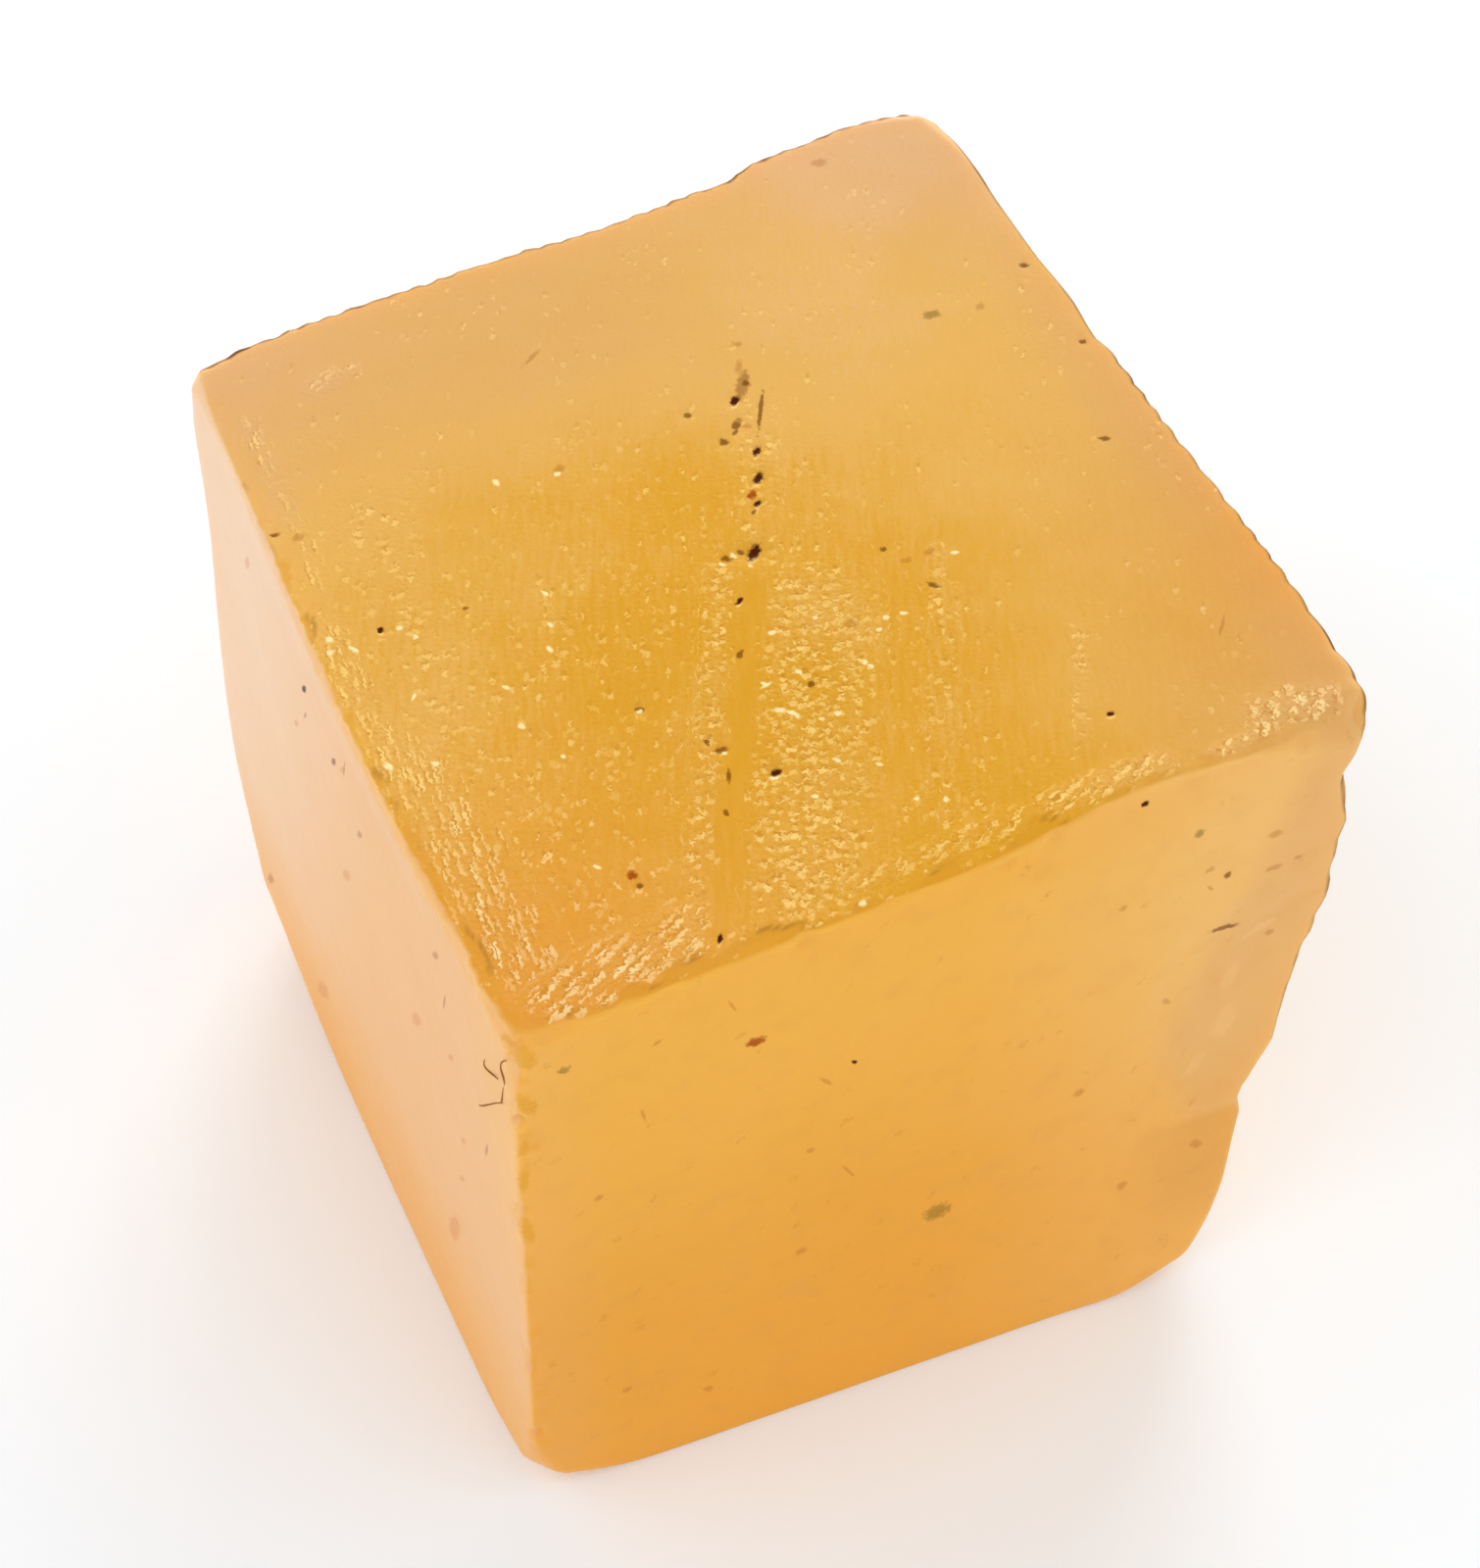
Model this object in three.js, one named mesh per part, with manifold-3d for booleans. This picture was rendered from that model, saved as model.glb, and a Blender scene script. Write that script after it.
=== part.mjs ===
import * as THREE from 'three';
import { mergeVertices } from 'three/addons/utils/BufferGeometryUtils.js';
import Module from 'manifold-3d';

// A rough yellow sapphire sawn to a cube, one solid stone. Millimetres, +Z up. It stands on
// its sawn base, with the middle of its outline over the origin. -Y is the smooth front,
// +Y the back, where two saw cuts meet in a step, and +X the side with the flaked edge.

const { smoothstep, clamp } = THREE.MathUtils;

// The block that the stone was sawn to, before wear and damage.
const WIDTH = 20.0;
const DEPTH = 20.6;
const HEIGHT = 20.4;
const EDGE_RADIUS = 0.16;

// Each corner: its side of the block, where it would be if it were sharp (the faces aren't
// quite square to each other), how round it is worn, and how far the wear reaches.
const CORNERS = [
  { side: [-1, -1, -1], sharp: [-10.28, -10.06, 0], radius: 1.5, reach: 1.8 },
  { side: [1, -1, -1], sharp: [8.05, -11.32, 0], radius: 1.5, reach: 2.4 },
  { side: [-1, 1, -1], sharp: [-10.12, 10.85, 0], radius: 2.9, reach: 4.4 },
  { side: [1, 1, -1], sharp: [8.6, 10.75, 0], radius: 2.0, reach: 3.0 },
  { side: [-1, -1, 1], sharp: [-10.1, -10.02, 20.38], radius: 0.7, reach: 1.3 },
  { side: [1, -1, 1], sharp: [10.3, -10.06, 20.52], radius: 0.8, reach: 1.6 },
  { side: [-1, 1, 1], sharp: [-9.64, 10.46, 20.27], radius: 0.6, reach: 1.3 },
  { side: [1, 1, 1], sharp: [10.15, 11.0, 20.58], radius: 0.9, reach: 1.5 },
];

// The step on the back face, where the second saw cut ran proud of the first. Here and below,
// a pair of numbers is where a change begins and ends.
const SAW_STEP = { rise: 0.3, across: [4.35, 5.25], inward: [8, 10] };

// The bite out of the front right edge. It ends on a ledge and eases out again below it.
const BITE = {
  depth: 0.34,
  lip: 0.2,
  across: [4.6, 8.0],
  inward: [-8.5, -4.0],
  foot: 1.8,
  ledge: 6.7,
  floor: 7.5,
  top: 9.5,
};

// The shell-shaped flake scar on the front face, an ellipse cut off by the ledge.
const SCAR = {
  depth: 0.3,
  x: 7.6,
  z: 11.5,
  halfWidth: 3.0,
  halfHeight: 4.6,
  cutOff: [7.1, 7.5],
  inward: [-9.5, -7.0],
};

// The swelling low on the front face, and the hollow of the front top edge.
const SWELLING = { depth: 0.14, x: 5.6, halfWidth: 1.2, up: [1.5, 6.0], inward: [-8.0, -5.0] };
const TOP_HOLLOW = { depth: 0.38, x: 4.6, halfWidth: 2.6, up: [18.9, 20.3], inward: [-9.6, -7.5] };

// The left top edge bellies out along its middle.
const LEFT_BELLY = { depth: 0.19, y: -0.6, halfWidth: 5.2, up: [18.0, 20.2], inward: [-9.8, -8.8] };

// The right top edge: it bellies near the front corner and is notched in two places.
const RIGHT_EDGE = { up: [18.6, 20.2], across: [8.6, 9.8] };
const RIGHT_BELLY = { depth: 0.06, y: -5.4, halfWidth: 3.6 };
const NOTCHES = [
  { depth: 0.16, y: 2.6, halfWidth: 0.9 },
  { depth: 0.12, y: 7.0, halfWidth: 1.2 },
];

// The back left top corner is snipped off along this plane.
const SNIP = {
  normal: new THREE.Vector3(-0.6, 0.68, 0.42).normalize(),
  through: new THREE.Vector3(-9.58, 10.62, 20.27),
};

// Open pits in the top, on a line of flaws that crosses it: x, y, length and breadth.
const PITS = [
  [2.45, 5.75, 0.5, 0.34],
  [2.0, 5.0, 0.85, 0.5],
  [1.62, 4.2, 0.6, 0.42],
  [1.3, 3.62, 0.55, 0.4],
  [1.62, 3.2, 0.45, 0.3],
  [0.66, 1.3, 0.75, 0.36],
  [-0.12, -0.26, 0.72, 0.5],
  [-0.78, -0.2, 0.34, 0.26],
  [-0.94, -1.34, 0.36, 0.3],
  [-1.62, -2.8, 0.38, 0.3],
  [-2.31, -5.96, 0.4, 0.34],
  [-2.97, -5.16, 0.36, 0.24],
];
const PIT_DEPTH = 0.6; // of a pit's breadth
const PIT_HEADING = THREE.MathUtils.degToRad(64);

// Mesh lines along X, Y and Z, and how much they crowd towards the edges (0 to 1).
const LINES = [24, 36, 20];
const CROWDING = 0.9;

const half = new THREE.Vector3(WIDTH, DEPTH, HEIGHT).multiplyScalar(0.5);
const hump = (value, middle, halfWidth) => Math.exp(-(((value - middle) / halfWidth) ** 2));
const ease = (value, [from, to]) => smoothstep(value, from, to);
const fall = (value, range) => 1 - ease(value, range);

// Evenly spaced lines, from -1 to 1, drawn towards the edges along a sine.
function crowd(t) {
  return (1 - CROWDING) * t + CROWDING * Math.sin((t * Math.PI) / 2);
}

// The worn radius at a point of the block: the edges' own, growing near each corner.
function wear(point) {
  let radius = EDGE_RADIUS;
  for (const corner of CORNERS) {
    const distance = point.distanceTo(new THREE.Vector3(...corner.side).multiply(half));
    radius += (corner.radius - EDGE_RADIUS) * hump(distance, 0, corner.reach);
  }
  return radius;
}

// A point of the sharp block goes onto the ball of the worn radius that touches the faces.
function roundOff(point) {
  const radius = wear(point);
  const reach = half.clone().subScalar(radius);
  const centre = point.clone().clamp(reach.clone().negate(), reach);
  return centre.clone().add(point.clone().sub(centre).setLength(radius));
}

// The block's corners are carried to where the stone's are, and all between with them.
function skew(point) {
  const t = point.clone().divide(half);
  const result = new THREE.Vector3();
  for (const { side, sharp } of CORNERS) {
    const weight = ((1 + side[0] * t.x) * (1 + side[1] * t.y) * (1 + side[2] * t.z)) / 8;
    result.addScaledVector(new THREE.Vector3(...sharp), weight);
  }
  return result;
}

// Saw steps, flakes and hollows, each a smooth shift of the surface where it lies.
function damage(point) {
  const { x, y, z } = point;
  const moved = point.clone();

  moved.y += SAW_STEP.rise * ease(x, SAW_STEP.across) * ease(y, SAW_STEP.inward);

  const bitten = BITE.depth * ease(z, [BITE.foot, BITE.ledge]);
  const lip = BITE.lip * ease(z, [BITE.ledge, BITE.floor]);
  const nearEdge = ease(x, BITE.across) * fall(y, BITE.inward);
  moved.x -= (bitten + lip) * fall(z, [BITE.floor, BITE.top]) * nearEdge;

  const spread = ((x - SCAR.x) / SCAR.halfWidth) ** 2 + ((z - SCAR.z) / SCAR.halfHeight) ** 2;
  const scarred = smoothstep(1 - spread, 0, 1) * ease(z, SCAR.cutOff);
  moved.y += SCAR.depth * scarred * fall(y, SCAR.inward);

  const swollen = hump(x, SWELLING.x, SWELLING.halfWidth) * fall(z, SWELLING.up);
  moved.y -= SWELLING.depth * swollen * fall(y, SWELLING.inward);

  const hollowed = hump(x, TOP_HOLLOW.x, TOP_HOLLOW.halfWidth) * ease(z, TOP_HOLLOW.up);
  moved.y += TOP_HOLLOW.depth * hollowed * fall(y, TOP_HOLLOW.inward);

  const bellied = hump(y, LEFT_BELLY.y, LEFT_BELLY.halfWidth) * ease(z, LEFT_BELLY.up);
  moved.x -= LEFT_BELLY.depth * bellied * fall(x, LEFT_BELLY.inward);

  let edge = RIGHT_BELLY.depth * hump(y, RIGHT_BELLY.y, RIGHT_BELLY.halfWidth);
  for (const notch of NOTCHES) {
    edge -= notch.depth * hump(y, notch.y, notch.halfWidth);
  }
  moved.x += edge * ease(z, RIGHT_EDGE.up) * ease(x, RIGHT_EDGE.across);

  const proud = moved.clone().sub(SNIP.through).dot(SNIP.normal);
  return moved.addScaledVector(SNIP.normal, -Math.max(proud, 0));
}

// The whole outside, from a box's mesh whose every point is carried through the steps above.
function stoneSurface() {
  const box = new THREE.BoxGeometry(2, 2, 2, ...LINES);
  box.deleteAttribute('normal');
  box.deleteAttribute('uv');
  const surface = mergeVertices(box);
  const places = surface.getAttribute('position');
  const point = new THREE.Vector3();
  for (let i = 0; i < places.count; i += 1) {
    point.fromBufferAttribute(places, i);
    point.set(crowd(point.x), crowd(point.y), crowd(point.z)).multiply(half);
    const placed = damage(skew(roundOff(point)));
    places.setXYZ(i, placed.x, placed.y, placed.z);
  }
  return surface;
}

// How high the top lies at a place, between its four corners.
function topHeight(x, y) {
  const across = clamp(x / WIDTH + 0.5, 0, 1);
  const along = clamp(y / DEPTH + 0.5, 0, 1);
  const corner = (i) => CORNERS[i].sharp[2];
  const front = corner(4) + (corner(5) - corner(4)) * across;
  const back = corner(6) + (corner(7) - corner(6)) * across;
  return front + (back - front) * along;
}

// One pit: an eight-sided bowl with its long way along the line of flaws.
function pitBowl([x, y, length, breadth]) {
  const bowl = new THREE.SphereGeometry(0.5, 8, 6);
  bowl.deleteAttribute('normal');
  bowl.deleteAttribute('uv');
  bowl.scale(length, breadth, 2 * PIT_DEPTH * breadth);
  bowl.rotateZ(PIT_HEADING);
  bowl.translate(x, y, topHeight(x, y));
  return mergeVertices(bowl);
}

const wasm = await Module();
wasm.setup();

function toSolid(geometry) {
  return new wasm.Manifold(
    new wasm.Mesh({
      numProp: 3,
      vertProperties: Float32Array.from(geometry.getAttribute('position').array),
      triVerts: Uint32Array.from(geometry.getIndex().array),
    }),
  );
}

function toGeometry(solid) {
  const { vertProperties, triVerts } = solid.getMesh();
  const geometry = new THREE.BufferGeometry();
  geometry.setAttribute('position', new THREE.BufferAttribute(vertProperties, 3));
  geometry.setIndex(new THREE.BufferAttribute(triVerts, 1));
  return geometry;
}

let solid = toSolid(stoneSurface());
for (const pit of PITS) {
  solid = solid.subtract(toSolid(pitBowl(pit)));
}

const sapphire = new THREE.Mesh(
  toGeometry(solid),
  new THREE.MeshStandardMaterial({ color: 0xe6a945, roughness: 0.42, metalness: 0 }),
);
sapphire.name = 'sapphire_cube';

const stone = new THREE.Group();
stone.add(sapphire);

export default stone;
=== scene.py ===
import math

import bpy
import numpy as np
from mathutils import Matrix


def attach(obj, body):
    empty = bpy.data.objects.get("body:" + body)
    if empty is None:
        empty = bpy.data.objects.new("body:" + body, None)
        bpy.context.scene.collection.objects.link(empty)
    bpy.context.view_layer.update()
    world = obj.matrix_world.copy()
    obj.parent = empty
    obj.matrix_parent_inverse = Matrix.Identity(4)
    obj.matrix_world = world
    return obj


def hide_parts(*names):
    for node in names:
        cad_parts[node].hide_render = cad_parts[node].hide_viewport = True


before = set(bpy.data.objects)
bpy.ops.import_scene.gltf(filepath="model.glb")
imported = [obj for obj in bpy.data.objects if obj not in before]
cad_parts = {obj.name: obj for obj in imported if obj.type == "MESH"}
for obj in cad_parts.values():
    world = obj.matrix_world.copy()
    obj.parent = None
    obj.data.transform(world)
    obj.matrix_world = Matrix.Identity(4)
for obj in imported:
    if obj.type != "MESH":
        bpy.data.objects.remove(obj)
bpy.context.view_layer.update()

# The looks of a rough yellow sapphire sawn to a cube. Shapes are worked out in millimetres in
# the part's own frame, +Z up and -Y the smooth front, and go into their meshes in metres.
MM = 0.001

# The block that the stone was sawn to, and the wear of its sawn edges.
HALF = np.array([20.0, 20.6, 20.4]) / 2
EDGE_RADIUS = 0.16

# Each corner: its side of the block, where it would be if sharp, its worn radius and reach.
CORNERS = [
    ((-1, -1, -1), (-10.28, -10.06, 0.0), 1.5, 1.8),
    ((1, -1, -1), (8.05, -11.32, 0.0), 1.5, 2.4),
    ((-1, 1, -1), (-10.12, 10.85, 0.0), 2.9, 4.4),
    ((1, 1, -1), (8.6, 10.75, 0.0), 2.0, 3.0),
    ((-1, -1, 1), (-10.1, -10.02, 20.38), 0.7, 1.3),
    ((1, -1, 1), (10.3, -10.06, 20.52), 1.3, 1.8),
    ((-1, 1, 1), (-9.64, 10.46, 20.27), 0.6, 1.3),
    ((1, 1, 1), (10.15, 11.0, 20.58), 0.9, 1.5),
]

# How many strips the skin has along X, Y and Z, and how far they crowd towards the edges.
STRIPS = (150, 154, 84)
CROWDING = np.array([0.6, 0.6, 0.8])

# The step on the back, where the second saw cut ran proud of the first, at the top and foot.
SAW_STEP, SAW_STEP_FOOT = 0.3, 0.1

# The back top edge is hollow in two places: how deep, where along X, and half how wide.
BACK_HOLLOWS = [(0.22, 1.2, 2.6), (0.12, 5.8, 2.0)]

# The bite out of the front right edge, the lip under it, and the ledge that it ends on.
BITE, BITE_LIP = 0.34, 0.2
LEDGE = (6.7, 7.5)

# The shell-shaped flake scar on the front: its depth, middle and half size as x and z, where
# the ledge cuts it off, and the blow that its ripples spread from.
SCAR_DEPTH = 0.3
SCAR_MIDDLE = (7.6, 11.5)
SCAR_HALF = (3.0, 4.6)
SCAR_CUT = (7.1, 7.5)
BLOW = (10.4, 13.0)
RIPPLE_LENGTH = 1.1

# The right top edge bellies and is notched: how far, where along Y, and half how wide.
RIGHT_EDGE = [
    (0.06, -5.4, 3.6),
    (0.24, -9.0, 1.0),
    (-0.1, 0.5, 3.5),
    (-0.12, 5.4, 1.4),
    (-0.12, 2.6, 0.7),
    (-0.1, 7.4, 1.2),
]
SAW_LOBE = 0.78

# The back left top corner is snipped off along this plane.
SNIP_NORMAL = np.array([-0.6, 0.68, 0.42]) / np.linalg.norm([-0.6, 0.68, 0.42])
SNIP_POINT = np.array([-9.58, 10.62, 20.27])

# The saw ran across the top this many degrees from +Y towards +X.
SAW_HEADING = math.radians(23.5)
ALONG_SAW = np.array([math.sin(SAW_HEADING), math.cos(SAW_HEADING)])


# The camera looks down over the front left edge: its place, and in degrees its heading,
# counterclockwise from +Y, its dip below the horizon and its roll. The lens is as long as so
# many pixels of the picture, which is so many pixels wide and high. The sensor is in mm.
CAMERA_PLACE = np.array([-22.332, -44.782, 78.206])
CAMERA_HEADING, CAMERA_DIP, CAMERA_ROLL = -26.3395, 53.1452, 1.4105
PICTURE = (1510, 1600)
LENS_PIXELS = 3500.0
SENSOR = 36.0


def camera_axes():
    """The camera's own axes as columns, right, up and back: turned by its roll, then raised
    to its dip, then turned to its heading."""
    rise = math.radians(90 - CAMERA_DIP)
    turns = (
        Matrix.Rotation(math.radians(CAMERA_HEADING), 3, "Z")
        @ Matrix.Rotation(rise, 3, "X")
        @ Matrix.Rotation(math.radians(CAMERA_ROLL), 3, "Z")
    )
    return np.array(turns)


CAMERA_AXES = camera_axes()

# ---------------------------------------------------------------------------- the stone's form


def ease(value, start, end):
    """0 before start, 1 after end, and 3t^2 - 2t^3 between them."""
    t = np.clip((value - start) / (end - start), 0.0, 1.0)
    return t * t * (3.0 - 2.0 * t)


def fall(value, start, end):
    """1 before start, 0 after end: ease turned upside down."""
    return 1.0 - ease(value, start, end)


def hump(value, middle, half_width):
    """A bell curve, exp(-t^2), where t is the distance from the middle in half widths."""
    return np.exp(-(((value - middle) / half_width) ** 2))


def wander(points, wavelength, seed):
    """Smooth unevenness between about -1 and 1: seven sine waves of about that wavelength in
    mm, with seeded directions and phases, added up."""
    rng = np.random.default_rng(seed)
    waves = rng.normal(size=(7, 3))
    waves *= 2 * np.pi / wavelength / np.linalg.norm(waves, axis=1, keepdims=True)
    waves *= rng.uniform(0.6, 1.5, size=(7, 1))
    phases = rng.uniform(0, 2 * np.pi, size=7)
    return np.sin(points @ waves.T + phases).sum(axis=1) / 2.6


def box_skin(strips):
    """The skin of a box as one welded grid: each point of the lattice of strips that lies on
    the outside, once, as numbers from -1 to 1, and the four-sided faces, facing outwards."""
    sizes = np.array(strips)
    sides = []
    for axis in range(3):
        across, along = (axis + 1) % 3, (axis + 2) % 3
        a, b = np.meshgrid(
            np.arange(sizes[across] + 1), np.arange(sizes[along] + 1), indexing="ij"
        )
        for level in (0, sizes[axis]):
            grid = np.empty(a.shape + (3,), int)
            grid[..., axis], grid[..., across], grid[..., along] = level, a, b
            ring = [grid[:-1, :-1], grid[1:, :-1], grid[1:, 1:], grid[:-1, 1:]]
            sides.append(np.stack(ring if level else ring[::-1], axis=2).reshape(-1, 4, 3))
    corners = np.concatenate(sides)
    keys = (corners[..., 0] * (sizes[1] + 1) + corners[..., 1]) * (sizes[2] + 1) + corners[..., 2]
    _, first, faces = np.unique(keys, return_index=True, return_inverse=True)
    return 2.0 * corners.reshape(-1, 3)[first] / sizes - 1.0, faces.reshape(-1, 4)


def crowd(t):
    """Even numbers from -1 to 1, drawn towards both ends along a sine."""
    return (1 - CROWDING) * t + CROWDING * np.sin(t * np.pi / 2)


def round_off(points):
    """Wears the sharp block. Each point is clamped to the block shrunk by the worn radius and
    set off from there by that radius, which is the edges' own and grows along a bell curve
    near each corner. The other results are the direction outwards and the radius."""
    radius = np.full(len(points), EDGE_RADIUS)
    for side, _, worn, reach in CORNERS:
        distance = np.linalg.norm(points - np.array(side) * HALF, axis=1)
        radius += (worn - EDGE_RADIUS) * hump(distance, 0.0, reach)
    core = np.clip(points, radius[:, None] - HALF, HALF - radius[:, None])
    outward = points - core
    outward /= np.linalg.norm(outward, axis=1, keepdims=True)
    return core + outward * radius[:, None], outward, radius


def skew(points):
    """Carries the block's corners to the stone's own, and what lies between them by the
    product of its shares along X, Y and Z."""
    t = points / HALF
    placed = np.zeros_like(points)
    for side, sharp, _, _ in CORNERS:
        placed += (np.prod(1 + np.array(side) * t, axis=1) / 8)[:, None] * np.array(sharp)
    return placed


def humps(value, rows):
    """Several bell curves added up, from rows of height, middle and half width."""
    return sum(height * hump(value, middle, half_width) for height, middle, half_width in rows)


def across_scar(x, z):
    """1 in the middle of the flake scar, 0 at its outline, and less outside: 1 - r^2, where r
    is the distance from the middle in half sizes."""
    aside, up = (x - SCAR_MIDDLE[0]) / SCAR_HALF[0], (z - SCAR_MIDDLE[1]) / SCAR_HALF[1]
    return 1 - aside**2 - up**2


def damage(points):
    """Saw steps, flakes and hollows, each a smooth shift of the surface where it lies."""
    moved = points.copy()
    x, y, z = points.T

    # The saw step strays and gets lower on its way down. The edge above is hollow beside it.
    stray = 0.4 * wander(points, 9.0, seed=13) * fall(z, 14.0, 19.0)
    step = SAW_STEP + (SAW_STEP_FOOT - SAW_STEP) * fall(z, 3.0, 17.0)
    moved[:, 1] += step * ease(x + stray, 4.35, 5.25) * ease(y, 8.0, 10.0)
    moved[:, 1] -= humps(x, BACK_HOLLOWS) * ease(y, 8.0, 10.0) * ease(z, 12.0, 20.0)

    # The bite ends on the ledge and eases out below it.
    near_edge = ease(x, 4.6, 8.0) * fall(y, -8.5, -4.0)
    bitten = BITE * ease(z, 1.8, LEDGE[0]) + BITE_LIP * ease(z, *LEDGE)
    moved[:, 0] -= bitten * fall(z, LEDGE[1], 9.5) * near_edge

    # The front right edge is worn back above the scar and below the ledge.
    corner = ease(x, 8.0, 9.6) * fall(y, -9.8, -8.0) * fall(z, 18.7, 19.6)
    moved[:, 0] -= (0.2 * ease(z, 14.0, 17.0) + 0.2 * hump(z, 18.5, 0.6)) * corner
    moved[:, 0] -= 0.18 * fall(z, 7.4, 9.0) * ease(z, 0.8, 3.5) * near_edge

    scar = ease(across_scar(x, z), 0.0, 1.0) * ease(z, *SCAR_CUT)
    moved[:, 1] += SCAR_DEPTH * scar * fall(y, -9.5, -7.0)

    # The swelling low on the front, and the hollow of the front top edge.
    moved[:, 1] -= 0.14 * hump(x, 5.6, 1.2) * fall(z, 1.5, 6.0) * fall(y, -8.0, -5.0)
    moved[:, 1] += 0.38 * hump(x, 4.6, 2.6) * ease(z, 18.9, 20.3) * fall(y, -9.6, -7.5)

    # The hollow high on the left at the back, and the belly of the left top edge.
    moved[:, 0] += 0.13 * hump(z, 14.5, 4.0) * fall(x, -9.5, -8.5) * ease(y, 4.0, 9.0)
    moved[:, 0] -= 0.19 * hump(y, -0.6, 5.2) * ease(z, 18.0, 20.2) * fall(x, -9.8, -8.8)

    # The right top edge, with the lobes that the saw left along its front half.
    lobes = np.abs(np.sin(np.pi * (y + 0.25 * np.sin(1.3 * y)) / SAW_LOBE)) - 0.6
    edge = humps(y, RIGHT_EDGE) + 0.07 * lobes * fall(y, 1.5, 3.5)
    moved[:, 0] += edge * ease(z, 18.6, 20.2) * ease(x, 8.6, 9.8)

    proud = (moved - SNIP_POINT) @ SNIP_NORMAL
    return moved - np.maximum(proud, 0)[:, None] * SNIP_NORMAL


def from_rim(points):
    """How far a place on the top is inside its worn left and front rims, in mm, the nearer of
    the two. The rims wander, and the front rim widens at two old chips."""
    x, y, _ = points.T
    ragged = 0.14 * wander(points, 1.7, seed=3) + 0.1 * wander(points, 0.55, seed=4)
    left = x + 9.76 + 0.16 * hump(y, -0.6, 5.2) - 0.1 * fall(y, -8.0, -2.0)
    front = y + 9.84 - 0.3 * hump(x, -5.2, 1.6) - 0.35 * hump(x, 4.6, 2.4)
    return np.minimum(left, front) + ragged


def chips(points, size, seed):
    """0 to about 1 where small flakes broke off: the upper part of a smooth unevenness."""
    return np.maximum(wander(points, size, seed) - 0.15, 0)


def relief(points, outward):
    """Low relief. The worn rims dip, broken-out grains are bowls with the slope of a bell
    curve, edges are nicked, and the faces wander by a few hundredths of a millimetre."""
    moved = points.copy()
    x, y, z = points.T
    top = ease(outward[:, 2], 0.7, 0.98)
    moved[:, 2] -= 0.03 * fall(from_rim(points), -0.3, 0.12) * top
    for face, bowl_x, bowl_y, _, breadth, _, kind in MARKS:
        if face == "top" and kind in ("dirt", "grime"):
            distance = np.hypot(x - bowl_x, y - bowl_y)
            moved[:, 2] -= 0.8 * breadth * hump(distance, 0.0, 1.7 * breadth) * top

    # The faces wander, but not the foot, which stands flat.
    uneven = 0.018 * wander(points, 7.0, seed=11) + 0.003 * wander(points, 1.6, seed=12)
    moved += (uneven * ease(z, 0.05, 0.8))[:, None] * outward

    # Ripples spread across the flake scar from the blow on the right edge.
    ripples = np.sin(2 * np.pi * np.hypot(x - BLOW[0], z - BLOW[1]) / RIPPLE_LENGTH)
    scar = ease(across_scar(x, z), 0.0, 0.5) * ease(-outward[:, 1], 0.5, 0.9)
    moved[:, 1] += 0.018 * ripples * scar

    # Nicks: both corners of the front, and the edges round the top.
    left_corner = hump(x, -10.1, 0.22) * hump(y, -10.0, 0.22) * ease(z, 0.5, 2.0)
    moved[:, :2] += (0.1 * chips(points, 0.8, seed=22) * left_corner)[:, None]
    right_corner = ease(x, 9.0, 9.7) * fall(y, -9.6, -9.0)
    right_corner *= ease(z, 9.0, 14.0) * fall(z, 19.6, 20.2)
    moved[:, 0] -= 0.07 * wander(points, 1.1, seed=24) * right_corner
    left_edge = fall(x, -9.85, -9.55) * ease(z, 19.7, 20.2)
    ragged = 0.035 * wander(points, 1.5, seed=25) + 0.04 * wander(points, 0.5, seed=26)
    moved[:, 0] += ragged * left_edge
    front_edge = fall(y, -9.85, -9.6) * ease(z, 19.9, 20.2)
    moved[:, 1] += 0.08 * chips(points, 0.9, seed=21) * front_edge
    back_edge = ease(y, 9.9, 10.3) * ease(z, 19.6, 20.1)
    moved[:, 1] += 0.03 * wander(points, 0.6, seed=23) * back_edge
    return moved


def put_mesh(name, points, faces, material):
    """A piece from points in mm and their faces, smooth, with its place in its mesh."""
    mesh = bpy.data.meshes.new(name)
    mesh.from_pydata(points * MM, [], faces)
    mesh.shade_smooth()
    mesh.materials.append(material)
    piece = bpy.data.objects.new(name, mesh)
    bpy.context.scene.collection.objects.link(piece)
    return piece


def keep_values(piece, name, values):
    """Keeps one number, vector or colour for each vertex, for the material to read."""
    kinds = {1: ("FLOAT", "value"), 3: ("FLOAT_VECTOR", "vector"), 4: ("FLOAT_COLOR", "color")}
    kind, field = kinds[1 if values.ndim == 1 else values.shape[1]]
    attribute = piece.data.attributes.new(name, kind, "POINT")
    attribute.data.foreach_set(field, np.ascontiguousarray(values, np.float32).ravel())


# ---------------------------------------------------------------------------- colours and nodes


def linear(text):
    """An sRGB hex colour as linear red, green, blue and alpha."""
    srgb = np.array([int(text[i : i + 2], 16) for i in (1, 3, 5)]) / 255
    rgb = np.where(srgb <= 0.04045, srgb / 12.92, ((srgb + 0.055) / 1.055) ** 2.4)
    return (*rgb.tolist(), 1.0)


def add(tree, kind, sockets=None, **settings):
    """Adds a node with its settings. Sockets go by name or number, and take a number or a
    colour, another node's socket, or another node, whose first output is meant."""
    node = tree.nodes.new("ShaderNode" + kind)
    for key, value in settings.items():
        setattr(node, key, value)
    for key, value in (sockets or {}).items():
        if isinstance(value, bpy.types.Node):
            value = value.outputs[0]
        if isinstance(value, bpy.types.NodeSocket):
            tree.links.new(value, node.inputs[key])
        else:
            node.inputs[key].default_value = value
    return node


def new_material(name):
    """A material with its own empty node tree, and that tree."""
    material = bpy.data.materials.new(name)
    material.use_nodes = True
    material.node_tree.nodes.clear()
    return material, material.node_tree


# ---------------------------------------------------------------------------- fields on the skin

# Which coordinates a face is read by, and the one that it faces along with its sign.
FACES = {"top": (0, 1, 2, 1), "front": (0, 2, 1, -1), "left": (1, 2, 0, -1)}

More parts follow.
